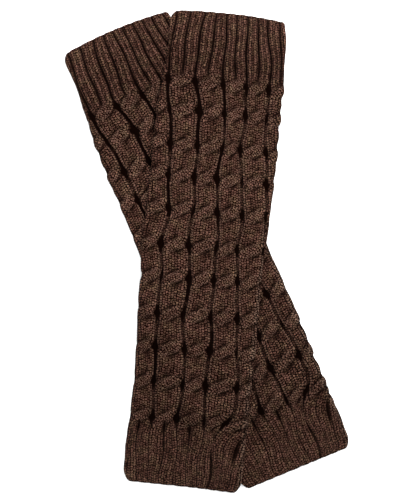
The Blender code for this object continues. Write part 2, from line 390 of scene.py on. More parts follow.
@dataclass(frozen=True)
class Spots:
    """The points of a grid of cloth, and where each lies in its cable.

    along is a column of distances from the top rim, and place a row of places round in
    cables. across is a share of a cable from its middle line to the right, x is the
    same in metres, and below is a grid of distances below the nearest crossing.
    """

    along: np.ndarray
    place: np.ndarray
    across: np.ndarray
    x: np.ndarray
    below: np.ndarray


@dataclass(frozen=True)
class Relief:
    """What a grid of cloth carries: its rise, the shade painted in its hollows, the highlight
    painted on its raised yarn, and stitches' counts.

    cabled is 1 on cables and 0 on ribs. The counts are of wales and rows, once as on the
    straight cloth and once as on the strand that crosses over, and crossing says where
    that strand lies on top.
    """

    rise: np.ndarray
    hollow_shade: np.ndarray
    proud_highlight: np.ndarray
    cabled: np.ndarray
    crossing: np.ndarray
    straight_count: np.ndarray
    crossing_count: np.ndarray

    @property
    def count(self) -> np.ndarray:
        """The wales and rows of what lies on top at each point."""
        return np.where(self.crossing[..., None], self.crossing_count, self.straight_count)


@dataclass(frozen=True)
class CableForm:
    """The form of a rope cable and of the ribs, for a cable of nominal width, in metres.

    At a crossing the strand on the right above passes over to the left below. Its two
    edges are arched creases, one above it from the left gutter up to the middle, and
    the same turned half round below it. Beside them the other strand dives under.

    Where a width, a rise or a shade has two values, the first is for the left or the
    top half and the second for the right or the bottom one. A change from cable to rib
    and back goes from its first place along to its second.
    """

    pitch: float = 0.0211
    halfway: float = 0.200
    to_cables: tuple[float, float] = (0.050, 0.060)
    to_ribs: tuple[float, float] = (0.350, 0.362)

    # A cable's half width in cables, and what widens or narrows it.
    half_width: float = 0.472
    top_open: float = 0.010
    top_open_until: float = 0.070
    top_open_run: float = 0.090
    tight: float = 0.014
    tight_from: int = 3
    uneven: float = 0.007
    uneven_turns: tuple[float, float] = (130.0, 47.0)
    uneven_phases: tuple[float, float] = (1.7, 2.9)
    draw_in: tuple[float, float] = (0.074, 0.112)
    draw_reach: float = 0.0038
    notch_uneven: float = 0.45
    notch_shift: float = 0.0012

    # Its section, the shade painted at its sides, and the pillows between two crossings, with shade
    # painted down their middles and rims.
    plump_power: float = 2.3
    pillow_height: float = 0.90
    side_close: float = 4.2
    side_shade: float = 0.40
    valley_reach: float = 0.0062
    valley_shade: tuple[float, float] = (0.26, 0.10)
    valley_along: tuple[float, float] = (0.17, 0.21)
    rim_place: float = 0.325
    rim_reach: float = 0.026
    rim_share: float = 1.9

    # The crossings: how low and how long each is, and how they lean from cable to cable.
    settle: float = 0.0008
    reach: float = 0.0095
    lean_start: float = 0.170
    lean_run: float = 0.050
    lean_each: float = 0.0006
    lean_middle: float = 0.5

    # The two creases of a crossing, and the shade painted in and beside them.
    crease_start: float = 0.0089
    crease_rise: float = 0.0002
    crease_slope: float = 0.80
    crease_bend: float = -16.0
    crease_middle: float = 0.0014
    crease_length: float = 0.0044
    crease_round: float = 0.0030
    crease_dive: float = 0.0046
    crease_depth: float = 0.62
    crease_line: float = 0.0011
    line_middle: float = -0.0028
    line_length: float = 0.0058
    dive_shade: float = 0.68

    # The strand that crosses over, and the highlight painted on the raised wales at the strands'
    # edges and on the crossing band.
    swing: float = 0.00528
    swing_reach: float = 0.0082
    edge_margin: float = 0.0002
    crossing_from: float = 0.3
    spare_rows: float = 2.0
    narrowed: float = 0.20
    edge_wale: float = 0.395
    edge_reach: float = 0.050
    edge_inset: float = 0.0017
    edge_width: float = 0.0008
    edge_share: float = 0.50
    band_share: float = 0.10
    band_light: float = 0.07
    band_reach: float = 0.0050

    # The ribs and the shade painted in their gutters, and the cable that is tucked under in the
    # bottom cuff, with shade painted in the tuck and the pockets.
    rib_power: float = 0.6
    rib_shift: float = 0.5
    gutter_floor: tuple[float, float] = (0.34, 0.14)
    gutter_side: float = 0.38
    parting_reach: float = 0.032
    parting_dip: float = 0.15
    parting_shade: float = 0.78
    rib_rise: tuple[float, float] = (0.0021, 0.0018)
    gutter_shade: tuple[float, float] = (1.0, 0.76)
    gutter_uneven: tuple[float, float] = (0.06, 0.30)
    gutter_boost: float = 0.35
    boost_along: float = 0.368
    boost_reach: float = 0.018
    rim_gutter: float = 0.85
    rim_gutter_run: float = 0.020
    tuck_drop: float = 0.80
    tuck_shade: float = 0.93
    tuck_fade: float = 0.15
    tuck_fade_run: float = 0.030
    pocket_drop: float = 0.60
    pocket_close: float = 1.15

    def spots(self, along: np.ndarray, place: np.ndarray) -> Spots:
        """Find each point of a grid in its cable.

        The crossings of a row stand a little higher from cable to cable to the right,
        from the middle of the warmer down.

        Args:
            along: Distances from the top rim, as a column.
            place: Places round in cables, as a row.

        Returns:
            The grid's points.
        """
        below = np.full(np.broadcast_shapes(along.shape, place.shape), SHAPE.length)
        for crossing in CROSSINGS:
            begun = smooth_step((crossing - self.lean_start) / self.lean_run)
            lean = begun * self.lean_each * (np.floor(place) - self.lean_middle)
            offset = along - (crossing + self.settle - lean)
            below = np.where(np.abs(offset) < np.abs(below), offset, below)
        across = place - np.floor(place) - 0.5
        return Spots(along, place, across, across * self.pitch, below)

    def unevenness(self, spots: Spots, gutters: int = 1) -> np.ndarray:
        """Slow ups and downs from -1 to 1 beside each gutter: the mean of two sines.

        Args:
            spots: The grid's points.
            gutters: How many gutters there are to a cable.

        Returns:
            A grid of numbers.
        """
        gutter = np.round(gutters * spots.place)
        first, second = (turns * spots.along for turns in self.uneven_turns)
        ahead, behind = (phase * gutter for phase in self.uneven_phases)
        return 0.5 * np.sin(first + ahead) + 0.5 * np.sin(second - behind)

    def half_widths(self, spots: Spots) -> np.ndarray:
        """Half of each cable's width, as a share of a cable.

        It draws in as a bell beside each crossing, by an uneven amount and a little
        above or below it. The cables on the right are wider, and the topmost narrower.

        Args:
            spots: The grid's points.

        Returns:
            A grid of shares.
        """
        uneven = self.unevenness(spots)
        shifted = spots.below + self.notch_shift * uneven * np.sign(spots.x)
        notch = np.where(spots.x < 0, *self.draw_in) * hump(shifted, self.draw_reach)
        notch = notch * (1.0 + self.notch_uneven * uneven)
        tight = self.tight * (np.round(spots.place) >= self.tight_from)
        closed = smooth_step((spots.along - self.top_open_until) / self.top_open_run)
        opened = self.top_open * (1.0 - closed)
        return self.half_width + tight - opened - self.uneven * uneven - notch

    def cable(self, spots: Spots) -> tuple[np.ndarray, np.ndarray]:
        """Height of a cable from 0 to 1, and the shade painted in its hollows from 0 to 1.

        Across, it is a plump super-ellipse. The two creases of the crossing are carved out of it.
        Between crossings shade is painted at a pillow's sides, down its middle and along its two
        rims, the last two by bells that fade towards the crossing.

        Args:
            spots: The grid's points.

        Returns:
            The heights and the painted shades.
        """
        from_middle = np.abs(spots.across)
        near = 0.5 + 0.5 * np.cos(math.pi * np.clip(spots.below / self.reach, -1.0, 1.0))
        fall = (from_middle / self.half_widths(spots)) ** self.plump_power
        pillow = np.sqrt(np.clip(1.0 - fall, 0.0, 1.0))
        carved, crease = self.creases(spots)
        level = self.pillow_height + (1.0 - self.pillow_height) * near
        height = pillow * level * (1.0 - self.crease_depth * carved)
        # Painted shade where the cable closes at its sides, down a pillow's middle and along its
        # rims.
        closed = 1.0 - smooth_step(self.side_close * pillow)
        hollow_shade = np.maximum(closed, self.side_shade * (1.0 - pillow))
        depth = np.interp(spots.along, self.valley_along, self.valley_shade)
        rims = self.rim_share * hump(from_middle - self.rim_place, self.rim_reach)
        valley = np.maximum(hump(spots.x, self.valley_reach), rims)
        valley = depth * valley * np.sqrt(1.0 - near)
        return height, np.maximum(np.maximum(hollow_shade, valley), crease)

    def inside(self, spots: Spots, side: float) -> np.ndarray:
        """How far inside one edge of the crossing strand each point lies.

        The edge starts at the gutter and rises by a straight slope, which a square of
        the distance flattens into an arch. The result is taken square to that line.

        Args:
            spots: The grid's points.
            side: -1 for the edge above, which starts at the left, and 1 for that below.

        Returns:
            Distances, positive on the crossing strand.
        """
        run = self.crease_start - side * spots.x
        rise = self.crease_slope * run + self.crease_bend * run**2 - self.crease_rise
        steep = self.crease_slope + 2 * self.crease_bend * np.abs(run)
        return (rise - side * spots.below) / np.sqrt(1.0 + steep**2)

    def creases(self, spots: Spots) -> tuple[np.ndarray, np.ndarray]:
        """How much the crossing's creases carve away, and how much shade is painted in and beside
        them.

        The crossing strand falls to them as a parabola, and the strand beneath dives to them as a
        bell. A thin bell along each paints a dark line of shade.

        Args:
            spots: The grid's points.

        Returns:
            Shares from 0 to 1.
        """
        carved = np.zeros(spots.below.shape)
        shade = carved.copy()
        for side in (-1.0, 1.0):
            inside = self.inside(spots, side)
            fade = hump(spots.x - side * self.crease_middle, self.crease_length)
            over = (1.0 - np.clip(inside / self.crease_round, 0.0, 1.0)) ** 2
            dive = hump(np.minimum(inside, 0.0), self.crease_dive)
            carved = np.maximum(carved, fade * np.where(inside >= 0.0, over, dive))
            # Painted shade: a dark line along the crease, and dimming where the strands fall and
            # dive to it.
            reach = hump(spots.x + side * self.line_middle, self.line_length)
            line = reach * hump(inside + self.crease_line / 2, self.crease_line)
            dim = self.dive_shade * fade * np.where(inside >= 0.0, over**2, dive)
            shade = np.maximum(shade, np.maximum(line, dim))
        return carved, shade

    def in_crossing(self, spots: Spots) -> np.ndarray:
        """Whether each point lies on the strand that crosses over, between its creases.

        Args:
            spots: The grid's points.

        Returns:
            A grid of true and false.
        """
        on_cable = np.abs(spots.x) < self.half_width * self.pitch - self.edge_margin
        between = (self.inside(spots, -1.0) > 0.0) & (self.inside(spots, 1.0) > 0.0)
        return on_cable & (np.abs(spots.below) < self.swing_reach) & between

    def crossing_stitches(self, spots: Spots, gauge: KnitGauge) -> tuple[np.ndarray, np.ndarray]:
        """Counts of wales and spare rows on the strand that crosses over.

        Its middle line swings as a quarter sine from the right half above to the left
        half below. Wales count the distance square to it, and rows the length along it.

        Args:
            spots: The grid's points.
            gauge: The knitting's gauge.

        Returns:
            Wales from the strand's middle wale, and rows beyond the straight count.
        """
        turn = np.clip(spots.below / self.swing_reach, -1.0, 1.0)
        from_line = spots.x + self.swing * np.sin(math.pi / 2 * turn)
        steep = self.swing * math.pi / 2 / self.swing_reach * np.cos(math.pi / 2 * turn)
        level = 1.0 / np.sqrt(1.0 + steep**2)
        narrowed = 1.0 - self.narrowed * np.cos(math.pi / 2 * turn) ** 2
        wale_width = self.pitch / gauge.wales_per_cable * narrowed
        spare = self.spare_rows * smooth_step(0.5 + 0.5 * turn)
        rows = spare - from_line * steep * level / gauge.row_height
        return from_line * level / wale_width, rows

    def ribs(self, place: np.ndarray, floor: np.ndarray) -> tuple[np.ndarray, np.ndarray]:
        """Two ribs for each cable: height, and the shade painted in their hollows, from 0 to 1.

        A rib is a root of a sine, and its gutters are its lowest parts, where shade is painted. It
        is two wales wide, and a thin bell down its middle parts them and paints a line of shade.

        Args:
            place: Places round in cables.
            floor: The share of a rib's height below which the shade painted in its gutter is
                darkest.

        Returns:
            The heights and the painted shades.
        """
        wave = np.abs(np.sin(2 * math.pi * place)) ** self.rib_power
        gutter = 1.0 - smooth_step((wave - floor) / self.gutter_side)
        beside = np.abs(np.mod(2 * place, 1.0) - 0.5) / 2
        parting = hump(beside, self.parting_reach)
        height = wave * (1.0 - self.parting_dip * parting)
        return height, np.maximum(gutter, self.parting_shade * parting)

    def gutter_shades(self, spots: Spots) -> np.ndarray:
        """How much shade is painted in the gutters between ribs.

        They are uneven, lightest at the top rim and darkest where the bottom cuff
        starts, around which a bell adds to them.

        Args:
            spots: The grid's points.

        Returns:
            A grid of shares from 0 to 1.
        """
        along = spots.along
        lost = np.where(along < self.halfway, *self.gutter_uneven)
        shade = np.where(along < self.halfway, *self.gutter_shade)
        shade = shade * (1.0 - lost * (1.0 - self.unevenness(spots, gutters=2)))
        boost = 1.0 + self.gutter_boost * hump(along - self.boost_along, self.boost_reach)
        shade = np.minimum(shade * boost, 1.0)
        below_rim = smooth_step(along / self.rim_gutter_run)
        return shade * (self.rim_gutter + (1.0 - self.rim_gutter) * below_rim)

    def sink(
        self, spots: Spots, rise: np.ndarray, hollow_shade: np.ndarray
    ) -> tuple[np.ndarray, np.ndarray]:
        """Sink the tucked ribs and the pockets into a relief, and paint shade in them.

        The tuck is a step round and an eased start along. A pocket is the product of
        two bells, one along and one round.

        Args:
            spots: The grid's points.
            rise: The relief's rise.
            hollow_shade: The shade painted in its hollows.

        Returns:
            The rise and the painted shade, with the tuck and the pockets sunk and shaded.
        """
        along, place = spots.along, spots.place
        start, end = SHAPE.tuck_start, SHAPE.tuck_start + SHAPE.tuck_run
        between = (place > TUCK_PLACES[0]) & (place < TUCK_PLACES[1])
        tucked = ease_between(along, start, end) * between
        fade = self.tuck_fade * smooth_step((along - end) / self.tuck_fade_run)
        rise = rise * (1.0 - self.tuck_drop * tucked)
        # Painted shade in the tucked ribs.
        hollow_shade = np.maximum(hollow_shade, self.tuck_shade * tucked * (1.0 - fade))
        for pocket in POCKETS:
            inside = hump(along - pocket.along, pocket.half_length)
            inside = inside * hump(place - pocket.place, pocket.half_width)
            rise = rise * (1.0 - self.pocket_drop * inside * pocket.depth)
            # Painted shade in the pocket.
            dark = smooth_step(self.pocket_close * inside) * pocket.depth
            hollow_shade = np.maximum(hollow_shade, dark)
        return rise, hollow_shade

    def relief(
        self, along: np.ndarray, place: np.ndarray, gauge: KnitGauge, row: np.ndarray
    ) -> Relief:
        """The whole relief of a grid: ribs at both ends, cables between them.

        Args:
            along: Distances from the top rim, as a column.
            place: Places round in cables, as a row.
            gauge: The knitting's gauge.
            row: The count of rows, as a column.

        Returns:
            The relief, its rise in metres.
        """
        spots = self.spots(along, place)
        begun = ease_between(along, *self.to_cables)
        ended = ease_between(along, *self.to_ribs)
        cable_share = begun * (1.0 - ended)
        rib_share = 1.0 - cable_share
        cable_height, cable_hollow_shade = self.cable(spots)
        floor = np.where(along < self.halfway, *self.gutter_floor)
        rib_height, rib_hollow_shade = self.ribs(place, floor)
        rib_rise = np.where(along < self.halfway, *self.rib_rise)
        rise = cable_share * SHAPE.cable_rise * cable_height + rib_share * rib_rise * rib_height
        gutter = self.gutter_shades(spots)
        # Painted shade in the hollows of cables and ribs.
        hollow_shade = cable_share * cable_hollow_shade + rib_share * gutter * rib_hollow_shade
        rise, hollow_shade = self.sink(spots, rise, hollow_shade)
        crossing = self.in_crossing(spots) & (cable_share > self.crossing_from)
        # Painted highlight on raised yarn, none where shade is painted.
        proud_highlight = cable_share * self.proud_highlight(spots, crossing) * (1.0 - hollow_shade)
        wales, spare = self.crossing_stitches(spots, gauge)
        middle_wale = np.floor(place) * gauge.wales_per_cable + gauge.strand_wale
        crossing_count = np.stack([middle_wale + wales, row + spare], -1)
        wale = gauge.wale(place) + self.rib_shift * rib_share
        shape = spots.below.shape
        straight_count = np.stack([np.broadcast_to(count, shape) for count in (wale, row)], -1)
        cabled = np.broadcast_to(cable_share, shape)
        return Relief(rise, hollow_shade, proud_highlight, cabled, crossing, straight_count, crossing_count)

    def proud_highlight(self, spots: Spots, crossing: np.ndarray) -> np.ndarray:
        """How much highlight is painted on raised yarn: most on the wales at a strand's edges.

        Args:
            spots: The grid's points.
            crossing: Where the strand that crosses over lies on top.

        Returns:
            Shares from 0 to 1.
        """
        from_wale = np.abs(spots.across) - self.edge_wale
        beside = self.edge_share * hump(from_wale, self.edge_reach)
        inside = np.minimum(self.inside(spots, -1.0), self.inside(spots, 1.0))
        band = self.band_share + self.edge_share * hump(inside - self.edge_inset, self.edge_width)
        band = band + self.band_light * hump(spots.below, self.band_reach)
        return np.where(crossing, band, beside)


@dataclass(frozen=True)
class Placement:
    """Where a warmer's top rim has its middle, and how far the warmer is turned."""

    top: tuple[float, float]
    turn: float

    def to_pair(self, x: np.ndarray, y: np.ndarray) -> tuple[np.ndarray, np.ndarray]:
        """A warmer's own x and y, as laid in the pair: turned, then moved."""
        cos, sin = math.cos(self.turn), math.sin(self.turn)
        return self.top[0] + x * cos - y * sin, self.top[1] + x * sin + y * cos

    def to_warmer(self, x: np.ndarray, y: np.ndarray) -> tuple[np.ndarray, np.ndarray]:
        """The pair's x and y in the warmer's own: moved, then turned back.

        Args:
            x: Across the pair.
            y: Up the pair.

        Returns:
            Distances across the warmer and along it from the top rim.
        """
        cos, sin = math.cos(self.turn), math.sin(self.turn)
        from_x, from_y = x - self.top[0], y - self.top[1]
        return from_x * cos + from_y * sin, from_x * sin - from_y * cos


SHAPE = WarmerShape()
GAUGE = KnitGauge()
CABLES = CableForm()
PLACEMENTS = {
    Layer.UNDER: Placement((-0.077245, 0.189678), math.radians(22.5)),
    Layer.OVER: Placement((0.021055, 0.202478), math.radians(-6.0)),
}


@dataclass(frozen=True)
class Drape:
    """How the over warmer is lifted by the under one and comes down beside it."""

    layer_gap: float = 0.0004
    shoulder: float = 0.004
    run_down: float = 0.038

    def lift(self, x: np.ndarray, y: np.ndarray) -> np.ndarray:
        """Height of the over warmer's underside at points of its own x and y.

        It is the under warmer's thickness on and near that one, and eases to nothing
        over the run down, by the distance from the under warmer's outline.

        Args:
            x: Across the over warmer.
            y: Along it, negative from the top rim down.

        Returns:
            Heights in metres.
        """
        in_pair = PLACEMENTS[Layer.OVER].to_pair(x, y)
        across, along = PLACEMENTS[Layer.UNDER].to_warmer(*in_pair)
        table = np.array(SECTION_ROWS) * MM
        left = np.interp(along, table[:, 0], table[:, 1])
        right = np.interp(along, table[:, 0], table[:, -1])
        beside = np.maximum(np.maximum(left - across, across - right), 0.0)
        beyond = np.maximum(np.maximum(-along, along - SHAPE.length), 0.0)
        away = np.hypot(beside, beyond)
        down = smooth_step((away - self.shoulder) / self.run_down)
        return (SHAPE.height + self.layer_gap) * (1.0 - down)


DRAPE = Drape()


@dataclass
class KnittedPiece:
    """One knitted piece of a warmer, as one closed mesh that replaces its CAD node."""

    layer: Layer
    part: Part
    material: bpy.types.Material

    # The grid: raised wales over the top and the folds, and wide steps elsewhere.
    first_wale: int = -11
    last_wale: int = 47
    under_points: int = 8
    inner_step: float = 0.010
    measured_rows: int = 50

    # The rims, and how the relief is held there, on the folds and underneath.
    rim_inset: float = 0.0009
    rim_edge: float = 0.0015
    rim_share: float = 0.35
    scallop: float = 0.0009
    scallop_reach: float = 0.0050
    scallop_middle: float = 0.75
    gutter_depth: float = 0.0012
    upper_from: float = 0.5
    even_share: float = 1.6
    even_rows: int = 5

    # The highlight painted along the right fold, and the wool's tone down the warmer.
    fold_highlight_before: float = 0.0034
    fold_highlight_reach: float = 0.0014
    fold_highlight_start: float = 0.165
    fold_highlight_run: float = 0.030
    tone_stations: tuple[float, ...] = (0.015, 0.035, 0.054, 0.064, 0.150, 0.270, 0.350, 0.362)
    tones: tuple[float, ...] = (1.16, 0.92, 0.92, 1.14, 1.20, 1.00, 0.85, 0.78)
    inner_tone: float = 0.9

    @property
    def name(self) -> str:
        """The CAD node's name, which the piece's own starts with."""
        return f"{self.layer.value}_{self.part.value}"

    @property
    def first_row(self) -> int:
        """Rows above this piece, so that rows are counted on from piece to piece."""
        above = list(Part)[: list(Part).index(self.part)]
        return sum(GAUGE.rows_in(end - start) for start, end in map(SHAPE.span, above))

    def places(self) -> np.ndarray:
        """The grid's columns: close on top and round the folds, wide underneath.

        Returns:
            Places round in cables.
        """
        per_cable = GAUGE.wales_per_cable * GAUGE.points_per_wale
        first = self.first_wale * GAUGE.points_per_wale
        last = self.last_wale * GAUGE.points_per_wale
        close = np.arange(first, last + 1) / per_cable
        rest = SHAPE.cables_round - (close[-1] - close[0])
        wide = close[-1] + rest * np.arange(1, self.under_points) / self.under_points
        return np.concatenate([close, wide])

    def stations(self) -> tuple[np.ndarray, np.ndarray]:
        """The grid's rows.

        Returns:
            Distances along from the top rim, and the count of knitted rows there.
        """
        start, end = SHAPE.span(self.part)
        rows = GAUGE.rows_in(end - start)
        share = np.linspace(0.0, 1.0, rows * GAUGE.points_per_row + 1)
        return start + (end - start) * share, self.first_row + rows * share

    def place_points(self, x: np.ndarray, z: np.ndarray, along: np.ndarray) -> np.ndarray:
        """Points of the warmer's own section, laid in the pair: bowed, turned and lifted.

        Args:
            x: Across the warmer, a grid.
            z: Height over what it lies on, a grid.
            along: Distances from the top rim, a column or a grid.

        Returns:
            An array of rows, columns and three coordinates.
        """
        fade = np.clip(1.0 - np.maximum(along, 0.0) / SHAPE.bow_fade, 0.0, 1.0)
        bow = SHAPE.rim_bow * (x / SHAPE.bow_width) ** 2 * fade
        y = -along - bow
        pair_x, pair_y = PLACEMENTS[self.layer].to_pair(x, y)
        if self.layer is Layer.OVER:
            z = z + DRAPE.lift(x, y)
        return np.stack([pair_x, pair_y, z], axis=-1)

    def outer_surface(self) -> tuple[np.ndarray, Relief]:
        """The outer surface: the flat tube, moved out along its normals by the relief.

        The relief is held down at the rims, evened out along the folds, and eased to
        nothing underneath, which rests flat.

        Returns:
            Points in a grid of rows and columns, and their relief.
        """
        along, row = self.stations()
        place = self.places()
        relief = CABLES.relief(along[:, None], place[None, :], GAUGE, row[:, None])
        middle, straight = SHAPE.girth(along)
        arcs = SHAPE.arcs(along, place)
        x, z, normal_x, normal_z = flat_tube(arcs, straight[:, None], SHAPE.fold_radius)
        rim = np.minimum(along, SHAPE.length - along)[:, None]
        held = smooth_step(rim / self.rim_edge)
        rise = relief.rise * (self.rim_share + (1.0 - self.rim_share) * held)
        rise -= self.rim_inset * (1.0 - held)
        rise -= self.gutter_depth * relief.hollow_shade
        upper = smooth_step(normal_z + self.upper_from)
        evened = smooth_step(self.even_share * normal_z)
        rise = evened * rise + (1.0 - evened) * self.even_along(rise)
        wales, rows = np.moveaxis(relief.count, -1, 0)
        stitches = GAUGE.stitch_height(wales, rows, GAUGE.row_depth_at(relief.cabled)) - 1.0
        rise = upper * (rise + GAUGE.stitch_depth * stitches * held)
        run = along[:, None] + upper * self.scalloped(along, place)
        x = middle[:, None] + x + rise * normal_x
        return self.place_points(x, z + rise * normal_z, run), relief

    def scalloped(self, along: np.ndarray, place: np.ndarray) -> np.ndarray:
        """How far the ribs push out past the rim and their gutters draw in.

        Args:
            along: Distances from the top rim, one for each row of the grid.
            place: Places round in cables, one for each column of the grid.

        Returns:
            Shifts along the warmer, eased to nothing away from the two rims.
        """
        wave, _ = CABLES.ribs(place, np.zeros(1))
        top = 1.0 - smooth_step(along / self.scallop_reach)
        bottom = 1.0 - smooth_step((SHAPE.length - along) / self.scallop_reach)
        return self.scallop * (bottom - top)[:, None] * (wave - self.scallop_middle)[None, :]

    def even_along(self, rise: np.ndarray) -> np.ndarray:
        """The rise evened out along each column, for the folds: a running mean of rows.

        Args:
            rise: The relief's rise, a grid.

        Returns:
            The evened grid.
        """
        span = self.even_rows
        padded = np.pad(rise, ((span, span), (0, 0)), mode="edge")
        total = np.cumsum(np.vstack([np.zeros((1, rise.shape[1])), padded]), axis=0)
        width = 2 * span + 1
        return (total[width:] - total[:-width]) / width

    def inner_surface(self, columns: np.ndarray) -> np.ndarray:
        """The plain inside: a thinner flat tube, a wall's thickness above the floor.

        Args:
            columns: Which of the outer surface's columns have a point inside.

        Returns:
            Points in a grid of rows and columns.
        """
        start, end = SHAPE.span(self.part)
        along = np.linspace(start, end, max(2, round((end - start) / self.inner_step) + 1))
        middle, straight = SHAPE.girth(along)
        arcs = SHAPE.arcs(along, self.places()[columns])
        radius = SHAPE.slit / 2
        share = arcs / SHAPE.way_round(straight, SHAPE.fold_radius)[:, None]
        arcs = share * SHAPE.way_round(straight, radius)[:, None]
        x, z, _, _ = flat_tube(arcs, straight[:, None], radius)
        return self.place_points(middle[:, None] + x, z + SHAPE.wall, along[:, None])

    def build(self) -> bpy.types.Object:
        """Make the piece: outer grid, inner grid and a band of faces at each end.

        Returns:
            The finished object, riding on the body and standing for its node.
        """
        outer, relief = self.outer_surface()
        rows, columns, _ = outer.shape
        last_close = columns - self.under_points
        close = np.arange(0, last_close + 1, GAUGE.points_per_wale)
        inner_columns = np.concatenate([close, np.arange(last_close + 1, columns)])
        inner = self.inner_surface(inner_columns)
        inner_rows, inner_count, _ = inner.shape
        outer_index = np.arange(rows * columns).reshape(rows, columns)
        inner_index = np.arange(inner_rows * inner_count).reshape(inner_rows, inner_count)
        inner_index = rows * columns + inner_index
        outer_faces = self.skin(outer_index)
        inner_faces = self.skin(inner_index)[:, ::-1]
        caps = self.end_faces(outer_index[0], inner_index[0], inner_columns)
        foot = self.end_faces(outer_index[-1], inner_index[-1], inner_columns)
        caps += [face[::-1] for face in foot]
        points = np.concatenate([outer.reshape(-1, 3), inner.reshape(-1, 3)])
        mesh = bpy.data.meshes.new(self.name + "_knit")
        faces = [*outer_faces.tolist(), *inner_faces.tolist(), *caps]
        mesh.from_pydata(points.tolist(), [], faces)
        self.add_stitch_map(mesh, relief, len(inner_faces), caps)
        self.add_masks(mesh, relief)
        mesh.shade_smooth()
        self.sharpen_ends(mesh, outer_index)
        mesh.materials.append(self.material)
        mesh.validate()
        piece = bpy.data.objects.new(self.name + "_knit", mesh)
        bpy.context.collection.objects.link(piece)
        self.declare(piece)
        LOG.info("%s: %d faces", piece.name, len(mesh.polygons))
        return piece

    @staticmethod
    def skin(index: np.ndarray) -> np.ndarray:
        """Four-cornered faces of a closed ring of columns, facing out."""
        right = np.roll(index, -1, axis=1)
        return np.stack([index[:-1], index[1:], right[1:], right[:-1]], axis=-1).reshape(-1, 4)

    @staticmethod
    def end_faces(outer: np.ndarray, inner: np.ndarray, columns: np.ndarray) -> list[list[int]]:
        """Faces that close the wall at a rim, from one inner point to the next.

        Args:
            outer: The numbers of the rim's outer points.
            inner: The numbers of its inner points.
            columns: Which outer point each inner point stands under.

        Returns:
            One list of point numbers for each face.
        """
        faces = []
        for here, start in enumerate(columns):
            end = columns[here + 1] if here + 1 < len(columns) else len(outer)
            run = [int(outer[step % len(outer)]) for step in range(start, end + 1)]
            beside = int(inner[(here + 1) % len(inner)])
            faces.append([*run, beside, int(inner[here])])
        return faces

    @staticmethod
    def add_stitch_map(
        mesh: bpy.types.Mesh, relief: Relief, inner_faces: int, caps: list[list[int]]
    ) -> None:
        """The map "stitches": wales across and rows along, at each corner of each face.

        A face takes the counts of the strand that most of its corners lie on, so that
        stitches stay whole up to the crease. Counts differ by whole stitches from
        strand to strand, and so the pattern runs on.

        Args:
            mesh: The mesh, its outer faces first.
            relief: The outer surface's relief.
            inner_faces: How many plain faces follow the outer ones.
            caps: The faces at the ends.
        """
        def corners(grid: np.ndarray) -> np.ndarray:
            """The grid's values at the four corners of each outer face."""
            right = np.roll(grid, -1, axis=1)
            return np.stack([grid[:-1], grid[1:], right[1:], right[:-1]], axis=2)

        mostly_crossing = corners(relief.crossing).mean(axis=2) > 0.5
        straight = corners(relief.straight_count)
        straight[:, -1, 2:, 0] += SHAPE.cables_round * GAUGE.wales_per_cable
        crossing = corners(relief.crossing_count)
        outer = np.where(mostly_crossing[..., None, None], crossing, straight).reshape(-1, 2)
        rest = inner_faces * 4 + sum(len(face) for face in caps)
        values = np.concatenate([outer, np.full((rest, 2), PLAIN_COUNT)])
        layer = mesh.uv_layers.new(name="stitches")
        layer.data.foreach_set("uv", values.astype(np.float32).ravel())

    def add_masks(self, mesh: bpy.types.Mesh, relief: Relief) -> None:
        """Give the mesh the attributes that the wool's colour follows, among them the shade painted
        in the hollows and the highlights painted on raised yarn and along the right fold.

        Args:
            mesh: The mesh.
            relief: The outer surface's relief.
        """
        along, _ = self.stations()
        tone = np.interp(along, self.tone_stations, self.tones)[:, None]
        # Painted shade in the hollows.
        self.add_mask(mesh, "hollow_shade", relief.hollow_shade)
        # Painted highlight along the right fold, none where shade is painted.
        self.add_mask(mesh, "fold_highlight", self.fold_highlight() * (1.0 - relief.hollow_shade))
        # Painted highlight on raised yarn.
        self.add_mask(mesh, "proud_highlight", relief.proud_highlight)
        self.add_mask(mesh, "cabled", relief.cabled)
        self.add_mask(mesh, "tone", np.broadcast_to(tone, relief.hollow_shade.shape), self.inner_tone)

    @staticmethod
    def add_mask(mesh: bpy.types.Mesh, name: str, grid: np.ndarray, inside: float = 0.0) -> None:
        """Store an attribute at each point.

        Args:
            mesh: The mesh, its outer surface's points first.
            name: The attribute's name.
            grid: Values at the outer surface's points.
            inside: The one value of all the other points.
        """
        values = np.full(len(mesh.vertices), inside, dtype=np.float32)
        values[: grid.size] = grid.ravel()
        mesh.attributes.new(name, "FLOAT", "POINT").data.foreach_set("value", values)

    def fold_highlight(self) -> np.ndarray:
        """Where a highlight is painted: a bell along the right fold.

        Returns:
            A grid of shares from 0 to 1.
        """
        along, _ = self.stations()
        _, straight = SHAPE.girth(along)
        half_round = SHAPE.way_round(straight, SHAPE.fold_radius) / 2
        away = SHAPE.arcs(along, self.places()) - half_round[:, None] + self.fold_highlight_before
        begun = smooth_step((along - self.fold_highlight_start) / self.fold_highlight_run)
        return hump(away, self.fold_highlight_reach) * begun[:, None]

    @staticmethod
    def sharpen_ends(mesh: bpy.types.Mesh, index: np.ndarray) -> None:
        """Mark the outer rims sharp, so that two pieces' stitches meet without a line.

        Args:
            mesh: The mesh.
            index: The numbers of the outer surface's points, a grid.
        """
        ends = np.zeros(len(mesh.vertices), dtype=bool)
        ends[index[0]] = ends[index[-1]] = True
        edges = np.empty(len(mesh.edges) * 2, dtype=np.int64)
        mesh.edges.foreach_get("vertices", edges)
        both = ends[edges.reshape(-1, 2)].all(axis=1)
        mesh.attributes.new("sharp_edge", "BOOLEAN", "EDGE").data.foreach_set("value", both)

    def declare(self, piece: bpy.types.Object) -> None:
        """Hang the piece on the root body and hide the CAD node it stands for.

        Args:
            piece: The finished object.
        """
        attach(piece, "root")
        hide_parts(self.name)


